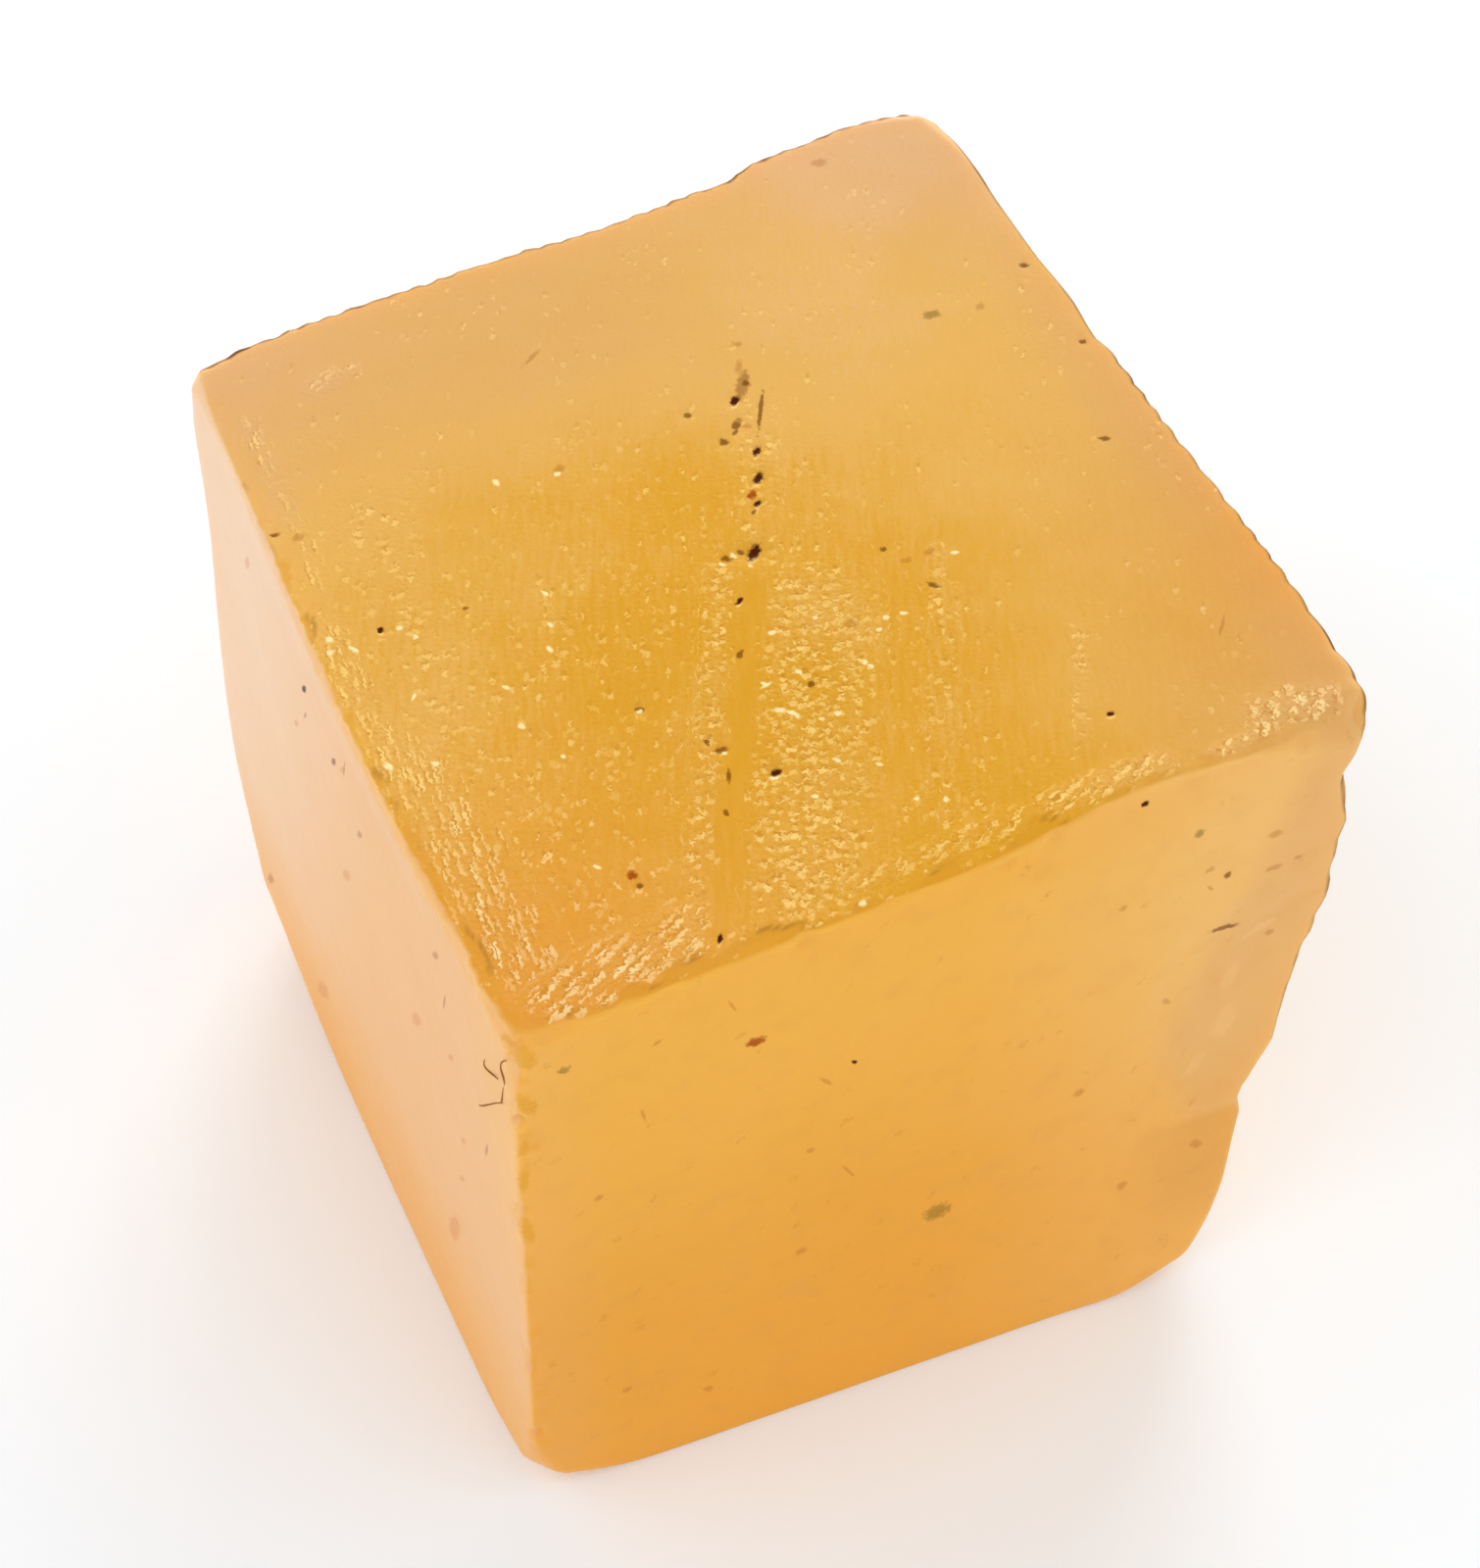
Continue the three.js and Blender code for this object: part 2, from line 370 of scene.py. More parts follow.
# How far from the block's middle a face's skin begins, on the coordinate that it faces along.
FACE_DEPTH = 9.4

# The skin reads a mark within this margin round it, wider than one face of the mesh.
MARK_MARGIN = 0.45

# What lies in the pits, on the skin and just under it: its colour, and how much of the
# stone's own colour it covers.
MARK_KINDS = {
    "dirt": ("#501c04", 1.0),
    "grime": ("#7c4206", 0.8),
    "stain": ("#8a5420", 0.6),
    "rust": ("#a44400", 0.9),
    "haze": ("#ac5a08", 0.36),
    "green": ("#80641c", 0.6),
    "blush": ("#c46024", 0.35),
    "smudge": ("#96440c", 0.5),
    "pale": ("#f2c484", 0.25),
    "amber": ("#da982c", 0.6),
    # Painted highlights: glints on the near walls of pits, and on clean breaks.
    "painted_lit_wall": ("#ffd480", 0.7),
    "bright": ("#ffeaa8", 0.9),
}

# How far the front leans out of the flat plane of its corners, as a shift of what is seen
# there along Z: at the middle of the foot, and for each mm along X and Z.
FRONT_SHIFT, FRONT_LEAN = -0.035, np.array([-0.026, 0.0045])

# How much further the dirt on the top reaches than it shows, and what share of its seen size
# a painted glint on the top keeps.
SMEAR = 0.01
GLINT_SHARE = 0.9


def on_face(face, across, down):
    """The two coordinates on a face of a place in the picture. The ray from the camera goes
    on to where it meets the plane midway between the face's four corners."""
    first, second, out, sign = FACES[face]
    corners = np.array([sharp for side, sharp, _, _ in CORNERS if side[out] == sign])
    normal = np.cross(corners[3] - corners[0], corners[2] - corners[1])
    offset = np.array([across - PICTURE[0] / 2, PICTURE[1] / 2 - down, -LENS_PIXELS])
    ray = CAMERA_AXES @ offset
    reach = (corners.mean(axis=0) - CAMERA_PLACE) @ normal / (ray @ normal)
    place = (CAMERA_PLACE + reach * ray)[[first, second]]
    if face == "front":
        place[1] += FRONT_SHIFT + FRONT_LEAN @ place
    return place


def seen(face, x0, y0, x1, y1, breadth, kind):
    """A mark by how the picture shows it: the two ends of its middle line and its breadth, in
    pixels from the upper left corner. It is as long and broad as they are on the face, and at
    least nine tenths as long as it is broad."""
    start, end = on_face(face, x0, y0), on_face(face, x1, y1)
    run = end - start
    aside = np.array([y0 - y1, x1 - x0]) / math.hypot(x1 - x0, y1 - y0) * breadth / 2
    middle = np.array([x0 + x1, y0 + y1]) / 2
    half_breadth = math.dist(on_face(face, *(middle + aside)), on_face(face, *(middle - aside))) / 2
    half_length = max(math.dist(start, end) / 2, 0.9 * half_breadth)
    # Painted glints are drawn a little smaller than they are seen.
    if kind == "bright":
        half_length, half_breadth = GLINT_SHARE * half_length, GLINT_SHARE * half_breadth
    elif face == "top":
        half_length, half_breadth = half_length + SMEAR, half_breadth + SMEAR
    heading = math.degrees(math.atan(run[1] / run[0]))
    return (face, *(start + end) / 2, half_length, half_breadth, heading, kind)


# The marks on the stone: the face, its two coordinates, half length, half breadth, heading in
# degrees and kind. Those that the picture shows plainly are given by seen, the others by their
# place on the face. Most of those on the top lie on one line of flaws.
MARKS = [
    seen("top", 751, 351, 756, 352, 5, "haze"),
    seen("top", 755, 368, 752, 380, 6, "haze"),
    seen("top", 760, 378, 756, 404, 12, "stain"),
    seen("top", 747, 412, 753, 402, 7, "dirt"),
    ("top", 1.94, 4.45, 0.1, 0.07, 20, "grime"),
    ("top", 1.06, 3.17, 0.1, 0.06, 45, "grime"),
    seen("top", 749, 436, 754, 427, 6, "grime"),
    ("top", 1.38, 3.22, 0.12, 0.07, -32, "haze"),
    seen("top", 734, 448, 743, 450, 6, "grime"),
    ("top", 1.86, 3.5, 0.62, 0.05, 60, "grime"),
    seen("top", 770, 464, 774, 454, 6, "dirt"),
    seen("top", 771, 492, 776, 481, 8, "dirt"),
    seen("top", 765, 509, 769, 500, 7, "rust"),
    seen("top", 771, 516, 775, 510, 5, "dirt"),
    seen("top", 768, 524, 770, 520, 3, "grime"),
    seen("top", 765, 571, 773, 555, 10, "dirt"),
    seen("top", 752, 563, 759, 563, 4, "grime"),
    seen("top", 736, 568, 746, 571, 6, "grime"),
    seen("top", 752, 617, 756, 611, 4.5, "dirt"),
    seen("top", 753, 672, 757, 664, 5, "grime"),
    seen("top", 826, 700, 830, 694, 5, "grime"),
    seen("top", 862, 638, 876, 635, 8, "haze"),
    seen("top", 719, 755, 723, 760, 4, "grime"),
    seen("top", 730, 766, 742, 763, 5, "grime"),
    seen("top", 744, 797, 743, 785, 4, "grime"),
    seen("top", 786, 789, 797, 784, 7, "dirt"),
    seen("top", 648, 722, 657, 725, 5, "grime"),
    seen("top", 898, 560, 904, 560, 4, "grime"),
    seen("top", 919, 573, 930, 571, 5, "haze"),
    seen("top", 947, 595, 959, 599, 4, "grime"),
    seen("top", 943, 566, 952, 560, 5, "haze"),
    seen("top", 699, 421, 704, 423, 5, "grime"),
    seen("top", 742, 832, 740, 826, 4, "grime"),
    seen("top", 733, 963, 736, 953, 4.5, "dirt"),
    seen("top", 641, 891, 649, 896, 8, "rust"),
    seen("top", 650, 903, 655, 905, 5, "grime"),
    seen("top", 385, 641, 391, 643, 5, "dirt"),
    ("top", 8.6, -0.57, 0.12, 0.07, -20, "grime"),
    ("top", 4.88, -7.6, 0.09, 0.06, -10, "dirt"),
    ("top", -9.54, 4.7, 0.12, 0.06, -20, "grime"),
    ("top", -9.08, 4.39, 0.14, 0.1, 0, "haze"),
    ("top", -3.03, 3.82, 0.15, 0.1, 20, "haze"),
    ("top", -2.24, 7.25, 0.3, 0.06, 30, "haze"),
    ("top", -6.5, 0.94, 0.08, 0.05, 0, "grime"),
    ("top", 6.79, 4.55, 0.2, 0.12, -10, "green"),
    ("top", 7.96, 4.32, 0.12, 0.1, 0, "haze"),
    ("top", 6.63, 10.25, 0.2, 0.12, -20, "haze"),
    ("top", 9.56, 5.11, 0.12, 0.07, -20, "grime"),
    ("top", 9.62, 2.32, 0.1, 0.07, -20, "grime"),
    ("top", 8.28, -6.47, 0.3, 0.04, 50, "haze"),
    ("front", 7.05, 14.52, 0.4, 0.1, -19, "grime"),
    ("front", 5.88, 18.71, 0.12, 0.14, 20, "green"),
    ("front", 4.6, 20.02, 0.1, 0.07, -10, "dirt"),
    ("front", -4.65, 17.27, 0.22, 0.16, -14, "rust"),
    seen("front", 869, 1083, 873, 1086, 4, "dirt"),
    ("front", 0.13, 7.25, 0.33, 0.3, -18, "green"),
    ("front", -8.95, 18.87, 0.15, 0.12, -17, "green"),
    ("front", 7.9, 17.66, 0.2, 0.12, -8, "haze"),
    ("front", 8.01, 16.43, 0.22, 0.09, -8, "haze"),
    ("front", 8.6, 16.49, 0.12, 0.08, 8, "haze"),
    seen("front", 652, 1133, 656, 1145, 4, "haze"),
    seen("front", 835, 1101, 848, 1108, 3.5, "haze"),
    seen("front", 663, 1066, 672, 1060, 3, "haze"),
    seen("front", 740, 1021, 748, 1031, 3, "haze"),
    seen("front", 1253, 897, 1259, 891, 5, "grime"),
    ("front", 6.3, 17.24, 0.11, 0.09, 27, "haze"),
    seen("front", 1241, 909, 1236, 905, 3.5, "haze"),
    seen("front", 860, 1192, 872, 1203, 3, "haze"),
    seen("front", 1301, 958, 1306, 956, 5, "haze"),
    seen("front", 1146, 930, 1152, 927, 5, "haze"),
    seen("front", 825, 1175, 829, 1178, 6, "haze"),
    seen("front", 605, 1226, 614, 1222, 5, "haze"),
    seen("front", 640, 1425, 645, 1427, 6, "haze"),
    seen("front", 722, 1422, 728, 1425, 6, "haze"),
    seen("front", 815, 1280, 821, 1277, 6, "haze"),
    seen("front", 1192, 1025, 1200, 1030, 5, "haze"),
    seen("front", 1098, 1115, 1104, 1112, 6, "haze"),
    seen("front", 1213, 1157, 1222, 1160, 7, "haze"),
    seen("front", 1140, 1205, 1146, 1203, 6, "haze"),
    ("front", 7.54, 12.3, 0.4, 0.2, 70, "pale"),
    ("front", 7.6, 10.5, 0.6, 0.3, 80, "pale"),
    ("front", 8.1, 13.9, 0.4, 0.15, 30, "pale"),
    ("front", 6.9, 9.2, 0.4, 0.2, 60, "pale"),
    ("front", -9.77, 19.8, 0.4, 0.22, -70, "amber"),
    ("front", -9.8, 18.1, 0.45, 0.16, -70, "amber"),
    ("front", -9.93, 16.5, 0.3, 0.12, 80, "amber"),
    ("front", -9.99, 15.2, 0.4, 0.12, 90, "amber"),
    ("front", -9.99, 13.1, 0.5, 0.14, 100, "amber"),
    ("left", 2.64, 17.32, 0.3, 0.08, -56, "dirt"),
    ("left", 2.82, 16.15, 0.24, 0.05, -60, "smudge"),
    ("left", 3.69, 14.84, 0.3, 0.08, -56, "blush"),
    ("left", 0.78, 16.86, 0.3, 0.08, -56, "grime"),
    ("left", 0.02, 17.48, 0.4, 0.04, -75, "smudge"),
    ("left", 0.85, 12.4, 0.5, 0.13, -56, "blush"),
    ("left", 8.15, 2.92, 0.5, 0.13, -56, "smudge"),
    ("left", 0.17, 17.29, 0.24, 0.06, -56, "blush"),
    ("left", -0.67, 15.9, 0.3, 0.08, -56, "smudge"),
    ("left", 6.88, 17.1, 0.44, 0.12, -56, "blush"),
    ("left", 4.2, 2.97, 0.8, 0.22, -56, "blush"),
    ("left", -3.77, 12.72, 0.56, 0.15, -56, "blush"),
    ("left", -5.54, 17.66, 0.32, 0.09, -56, "smudge"),
    ("left", -5.89, 16.34, 0.4, 0.05, -75, "smudge"),
    ("left", -6.1, 14.47, 0.3, 0.07, -56, "blush"),
    ("left", -8.2, 13.78, 0.36, 0.06, -75, "smudge"),
    ("left", -6.63, 11.77, 0.3, 0.08, -56, "blush"),
    ("left", -6.23, 9.49, 0.3, 0.08, -56, "blush"),
    ("left", -5.38, 5.88, 0.9, 0.25, -70, "blush"),
]

# Painted glints on the top, highlights of clean breaks, as seen reads them: the ends and the
# breadth.
PAINTED_GLINTS = [
    (788, 725, 803, 724, 5), (803, 725, 817, 731, 5), (649, 725, 656, 725, 5),
    (900, 631, 908, 629, 5), (917, 625, 926, 626, 4), (893, 643, 900, 642, 4),
    (879, 673, 886, 678, 6), (886, 678, 892, 680, 4), (852, 725, 858, 730, 6),
    (835, 733, 842, 733, 4), (828, 812, 835, 812, 5), (932, 815, 938, 814, 5),
    (962, 814, 968, 816, 6), (783, 648, 793, 644, 5), (969, 564, 979, 564, 4),
    (876, 924, 884, 919, 6), (829, 631, 835, 631, 4), (811, 684, 819, 687, 5),
    (850, 773, 858, 777, 5), (893, 778, 901, 780, 4), (557, 659, 564, 666, 5),
    (512, 700, 520, 703, 4), (528, 739, 536, 743, 6), (559, 635, 564, 640, 5),
    (572, 770, 577, 774, 5), (440, 779, 448, 781, 6), (392, 778, 401, 788, 8),
    (420, 716, 424, 707, 4), (403, 642, 411, 640, 5), (421, 650, 427, 650, 5),
    (357, 660, 366, 666, 5), (332, 650, 340, 655, 6), (332, 668, 341, 664, 6),
    (552, 602, 560, 608, 4), (503, 488, 509, 496, 6), (565, 484, 572, 482, 5),
    (605, 884, 613, 887, 4), (745, 564, 752, 570, 4), (733, 575, 742, 578, 4),
    (763, 577, 768, 579, 3), (784, 793, 796, 793, 4), (776, 696, 784, 700, 4),
    (775, 703, 787, 697, 3), (736, 767, 742, 769, 4),
]
MARKS += [seen("top", *ends, "bright") for ends in PAINTED_GLINTS]


def with_painted_lit_walls(marks):
    """Puts before each pit of dirt on the top a painted highlight on its near wall, where light
    catches it: as long as the pit, and set off from its middle against the saw's run."""
    all_marks = []
    for face, a, b, length, breadth, heading, kind in marks:
        if face == "top" and kind == "dirt":
            x, y = (a, b) - (breadth + 0.03) * ALONG_SAW
            all_marks.append((face, x, y, length, 0.7 * breadth, heading, "painted_lit_wall"))
        all_marks.append((face, a, b, length, breadth, heading, kind))
    return all_marks


def well_apart(marks):
    """Shares out marks in layers, each to the first layer where it is clear of all others, so
    that no face of the skin reads two marks at once."""
    layers = []
    for mark in marks:
        for layer in layers:
            gaps = [
                math.hypot(mark[1] - other[1], mark[2] - other[2]) - mark[3] - other[3]
                for other in layer
                if other[0] == mark[0]
            ]
            if min(gaps, default=9) > 2 * MARK_MARGIN:
                layer.append(mark)
                break
        else:
            layers.append([mark])
    return layers


def mark_offsets(points, layer):
    """For each point its offset from the layer's nearest mark, turned to the mark's heading
    and in units of its half length and half breadth, and which mark that is. The third number
    is 0 close to the mark and 9 away from it, so that in between is never inside a mark."""
    nearest = np.full(len(points), 99.0)
    which = np.zeros(len(points), int)
    offsets = np.full((len(points), 3), 9.0)
    for number, (face, a, b, length, breadth, heading, _) in enumerate(layer):
        first, second, out, sign = FACES[face]
        level = points[:, out] - (HALF[2] if out == 2 else 0.0)
        aside = points[:, [first, second]] - (a, b)
        distance = np.where(sign * level > FACE_DEPTH, np.linalg.norm(aside, axis=1), 99.0)
        turn = math.radians(heading)
        axes = np.array([[math.cos(turn), math.sin(turn)], [-math.sin(turn), math.cos(turn)]])
        closer = distance < nearest
        nearest[closer], which[closer] = distance[closer], number
        close = closer & (distance < max(length, breadth) + MARK_MARGIN)
        offsets[close, :2] = (aside[close] @ axes.T) / (length, breadth)
        offsets[close, 2] = 0.0
    return offsets, which


def along_line(points, start, end, half_width):
    """1 close to the line between start and end on the top, then falling: exp(-|t|^3), where
    t is the distance from the line in half widths."""
    start, end = np.array(start), np.array(end)
    run = end - start
    share = np.clip((points[:, :2] - start) @ run / (run @ run), 0, 1)
    distance = np.linalg.norm(points[:, :2] - start - share[:, None] * run, axis=1)
    return np.exp(-((distance / half_width) ** 3))


# The small flakes that broke out of the top, drawn in colour with painted highlights and painted
# shade. A kind has the heading of its length in degrees, its spacing along and across that in mm,
# and where it crowds: each line's start and end, half width and share of flaked places. They tore
# across the saw's run, along the left edge and at the corners.
FLAKES = [
    (
        (-23.5, 0.2, 0.25),
        [
            ((0.4, -2.3), (-2.9, -8.8), 1.5, 1.0),
            ((-1.1, -0.6), (-5.0, -8.0), 0.45, 0.9),
            ((1.6, 3.4), (-0.4, -1.6), 0.8, 0.5),
            ((3.65, -1.9), (0.5, -7.7), 0.22, 0.7),
            ((3.4, -3.1), (0.5, -8.4), 0.22, 0.7),
            ((5.4, -5.2), (3.9, -8.1), 0.25, 0.6),
            ((-0.4, -5.8), (-1.3, -7.6), 0.4, 0.8),
            ((-7.4, 4.0), (-8.2, -4.0), 1.4, 0.5),
        ],
    ),
    (
        (84.0, 0.42, 0.15),
        [
            ((-9.5, 1.4), (-9.5, -2.4), 0.5, 0.9),
            ((-9.2, -2.6), (-8.9, -8.2), 1.0, 0.95),
            ((-8.8, -2.8), (-9.0, -5.1), 0.09, 1.6),
            ((-9.0, -5.1), (-9.5, -8.1), 0.09, 1.6),
            ((-8.85, 8.1), (-9.1, 2.8), 0.3, 0.6),
        ],
    ),
    (
        (26.0, 0.46, 0.2),
        [
            ((-8.7, -9.2), (-5.5, -9.0), 0.8, 1.3),
            ((2.6, -9.2), (5.2, -9.2), 0.4, 1.2),
            ((-2.5, -9.2), (2.0, -9.3), 0.45, 0.9),
            ((-7.1, 8.5), (-6.3, 8.6), 0.4, 0.7),
        ],
    ),
    (
        (60.0, 0.28, 0.25),
        [((7.9, -8.95), (9.2, -9.25), 0.5, 1.5), ((6.4, -9.45), (7.6, -9.4), 0.2, 1.4)],
    ),
]
# The scattered ones are smaller and long in the saw's run.
SCATTERED_FLAKES = (-23.5, 0.14, 0.3)

# Elsewhere specks of dirt lie in the grain of the ground faces, this far apart in mm.
SPECK_SPACING = 0.42


def flakes(points, inside):
    """For each point of the skin the share of flaked places and its own place among them, in
    spacings along and across the flakes' heading. On the top some lie anywhere, fewest to the
    right, and the most frequent kind of a place is the one that it has. Inside is how far a
    point belongs to the sawn top. On the other faces the places are those of the specks."""
    x, y, z = points.T
    scattered = 0.12 + 0.26 * fall(x, 0.0, 5.0) * fall(y, -1.0, 6.0)
    scattered += 0.06 * wander(points, 3.0, seed=31)
    shares = [scattered * inside]
    headings = [SCATTERED_FLAKES]
    for size, lines in FLAKES:
        crowds = [most * along_line(points, *ends, width) for *ends, width, most in lines]
        shares.append(np.maximum.reduce(crowds) * inside)
        headings.append(size)
    shares = np.array(shares)
    chosen = np.array(headings)[shares.argmax(axis=0)]
    turn = np.radians(chosen[:, 0])
    along = x * np.cos(turn) + y * np.sin(turn)
    across = y * np.cos(turn) - x * np.sin(turn)
    place = np.stack([along / chosen[:, 1], across / chosen[:, 2], 0 * x], axis=1)
    speck_place = np.stack([x + y, z - 0.3 * x, 0 * x], axis=1) / SPECK_SPACING
    return shares.max(axis=0), np.where(inside[:, None] > 0, place, speck_place)


# Where the top's worn edges stick out most and turn out of sight from the camera, where their
# painted outline shade goes: the directions of planes that would touch them on the back edge, the
# right edge, the front right edge and the corner between the last two.
BACK_RIDGE = (0.0, 0.829, 0.559)
RIGHT_RIDGE = (0.951, 0.0, 0.309)
FRONT_RIGHT_RIDGE = (0.899, -0.438, 0.0)
CORNER_RIDGE = (0.960, -0.227, 0.160)
TOP_SIDE = (0.0, 0.0, 1.0)
FRONT_SIDE = (0.0, -1.0, 0.0)


def ridge(outward, radius, direction, face):
    """1 where the worn edge would touch a plane laid on it in that direction, and 0 where it
    is 0.1 mm below: a place turned by t from there lies radius times 1 - cos t below. It ends
    before the flat of the face that looks the given way, and not far past the touching line on
    the other side."""
    turned = 1 - outward @ np.array(direction)
    to_flat = turned / (1 - np.dot(direction, face))
    past = (outward - direction) @ np.array(face)
    return fall(radius * turned, 0.05, 0.1) * fall(to_flat, 0.3, 0.95) * ease(past, -0.3, -0.05)


def front_chips(points):
    """How wide the flakes are that broke off the front along its left edge, in mm."""
    return 0.05 + 0.4 * chips(points, 0.6, seed=22)


# ---------------------------------------------------------------------------- sapphire

SAPPHIRE_AMBER = linear("#dfa22c")
SAPPHIRE_HONEY = linear("#e8b35c")
SAPPHIRE_MILK = linear("#ebbe8e")
SAPPHIRE_GOLD = linear("#ebac4a")
SAPPHIRE_ORANGE = linear("#e59b3a")
SAPPHIRE_SAND = linear("#eab56b")
SAPPHIRE_PEACH = linear("#e5ae7c")
SAPPHIRE_PALE = linear("#e9c4a5")
SAPPHIRE_TAN = linear("#dda76b")
SAPPHIRE_LEDGE = linear("#d6964a")
SAPPHIRE_RIM = linear("#dc9c30")
# The next five: painted shade and two painted highlights for the flakes, brown specks of dirt, and
# the painted shade with dirt along the edges.
PAINTED_FLAKE_SHADE = linear("#c07c12")
PAINTED_GLINT = linear("#ffd97e")
PAINTED_CREAMY_GLINT = linear("#ffdfa8")
SPECK_BROWN = linear("#a05810")
EDGE_DIRT_AND_SHADE_BROWN = linear("#6c3a18")


def sapphire_material(mark_layers):
    """Rough yellow sapphire, corundum milky with silk, sawn with a diamond blade. Light goes
    in and comes out again a little way off, so it looks soft and barely glossy. The sawn top
    has fine grooves and broken-out grains, whose near walls are painted lit and far walls
    painted in shade, and the rest is ground smoother."""
    material, tree = new_material("milky_sapphire_sawn")
    place = add(tree, "TexCoord").outputs["Object"]
    mm = add(tree, "VectorMath", {0: place, "Scale": 1000.0}, operation="SCALE")
    sawn, milk_and_painted_light, ground, worn, edge_dirt_and_shade = (
        add(tree, "Attribute", attribute_name=name).outputs["Fac"]
        for name in ("sawn", "milk_and_painted_light", "ground", "worn", "edge_dirt_and_shade")
    )
    tint = add(tree, "Attribute", attribute_name="tint").outputs

    # Saw grooves about 0.15 mm apart, and bands 1 to 2 mm apart from the blade's wobble.
    turned = add(tree, "Mapping", {"Vector": mm, "Rotation": (0.0, 0.0, SAW_HEADING)})
    groove_place = add(tree, "VectorMath", {0: turned, 1: (8.0, 1.2, 8.0)}, operation="MULTIPLY")
    grooves = add(tree, "TexNoise", {"Vector": groove_place, "Scale": 1.0, "Detail": 2.0})
    band_place = add(tree, "VectorMath", {0: turned, 1: (0.9, 0.05, 0.9)}, operation="MULTIPLY")
    bands = add(tree, "TexNoise", {"Vector": band_place, "Scale": 1.0, "Detail": 1.0})

    fine = add(tree, "TexNoise", {"Vector": mm, "Scale": 9.0, "Detail": 2.0})
    fray = add(
        tree, "VectorMath", {0: fine.outputs["Color"], 1: (0.5, 0.5, 0.5)}, operation="SUBTRACT"
    )

    # Flakes: round a random point of each place, as wide as chance has it. The near wall of each is
    # painted lit, a painted highlight, and the far wall is painted in shade.
    flake_place = add(tree, "Attribute", attribute_name="flake_place").outputs["Vector"]
    flake_share = add(tree, "Attribute", attribute_name="flake_share").outputs["Fac"]
    ragged = add(
        tree, "VectorMath", {0: fray, 1: (1.5, 1.5, 0.0), 2: flake_place}, operation="MULTIPLY_ADD"
    )
    places = add(tree, "TexVoronoi", {"Vector": ragged, "Scale": 1.0}, voronoi_dimensions="2D")
    chance = add(tree, "SeparateColor", {"Color": places.outputs["Color"]}).outputs
    aside = add(
        tree, "VectorMath", {0: ragged, 1: places.outputs["Position"]}, operation="SUBTRACT"
    )
    reach = add(tree, "VectorMath", {0: aside}, operation="LENGTH").outputs["Value"]
    radius = add(tree, "Math", {0: chance["Green"], 1: 0.35, 2: 0.28}, operation="MULTIPLY_ADD")
    radii = add(tree, "Math", {0: reach, 1: radius}, operation="DIVIDE")
    within = add(
        tree, "MapRange", {0: radii, 1: 1.1, 2: 0.7}, interpolation_type="SMOOTHSTEP"
    )
    spare = add(tree, "Math", {0: flake_share, 1: chance["Red"]}, operation="SUBTRACT")
    broken = add(tree, "MapRange", {0: spare, 1: 0.0, 2: 0.1})
    broken = add(tree, "Math", {0: within, 1: broken}, operation="MULTIPLY")
    across = add(tree, "SeparateXYZ", {0: aside}).outputs["Y"]
    facing = add(tree, "MapRange", {0: across, 1: 0.16, 2: -0.04}, interpolation_type="SMOOTHSTEP")
    strength = add(tree, "Math", {0: flake_share, 1: 0.5, 2: 0.04}, operation="MULTIPLY_ADD")
    few = add(tree, "Math", {0: chance["Blue"], 1: 2.0}, operation="POWER")
    strength = add(tree, "Math", {0: few, 1: 0.5, 2: strength}, operation="MULTIPLY_ADD")
    broken = add(tree, "Math", {0: broken, 1: strength}, operation="MULTIPLY")
    lit = add(tree, "Math", {0: broken, 1: facing}, operation="MULTIPLY")
    shaded = add(tree, "Math", {0: broken, 1: lit}, operation="SUBTRACT")

    # The body: amber, honey where it is cloudy, milky in thin parts, orange towards the foot. The
    # milky share is partly painted light: glow of light coming through thin parts, and on the left
    # face painted reflection of the bright surroundings.
    silk = add(tree, "TexNoise", {"Vector": mm, "Scale": 0.25, "Detail": 2.0})
    lines = -0.26
    for part, weight in ((bands, 0.1), (grooves, 0.42)):
        lines = add(tree, "Math", {0: part, 1: weight, 2: lines}, operation="MULTIPLY_ADD")
    cloud = -0.31
    parts = ((silk, 0.5), (fine, 0.18), (lines, sawn), (flake_share, 0.12), (milk_and_painted_light, 1.0))
    for part, weight in parts:
        cloud = add(tree, "Math", {0: part, 1: weight, 2: cloud}, operation="MULTIPLY_ADD")
    body = SAPPHIRE_AMBER
    for start, end, colour in ((-0.05, 0.5, SAPPHIRE_HONEY), (0.45, 1.05, SAPPHIRE_MILK)):
        share = add(
            tree, "MapRange", {0: cloud, 1: start, 2: end}, interpolation_type="SMOOTHSTEP"
        )
        body = add(tree, "Mix", {0: share, 6: body, 7: colour}, data_type="RGBA").outputs[2]

    # Specks are places of the ground faces that are filled with dirt, and none is broken out.
    speck_chance = add(tree, "MapRange", {0: chance["Red"], 1: 0.14, 2: 0.08})
    dirty = add(tree, "MapRange", {0: radii, 1: 0.6, 2: 0.3}, interpolation_type="SMOOTHSTEP")
    speck = add(tree, "Math", {0: speck_chance, 1: dirty}, operation="MULTIPLY")
    speck = add(tree, "Math", {0: speck, 1: strength}, operation="MULTIPLY")
    speck = add(tree, "Math", {0: speck, 1: ground}, operation="MULTIPLY")

    # Cloudy stains a few tenths of a millimetre wide, under the skin of the ground faces.
    stains = add(tree, "TexNoise", {"Vector": mm, "Scale": 1.1, "Detail": 3.0})
    mottled = add(tree, "MapRange", {0: stains, 1: 0.5, 2: 0.75})
    mottled = add(tree, "Math", {0: mottled, 1: ground}, operation="MULTIPLY")

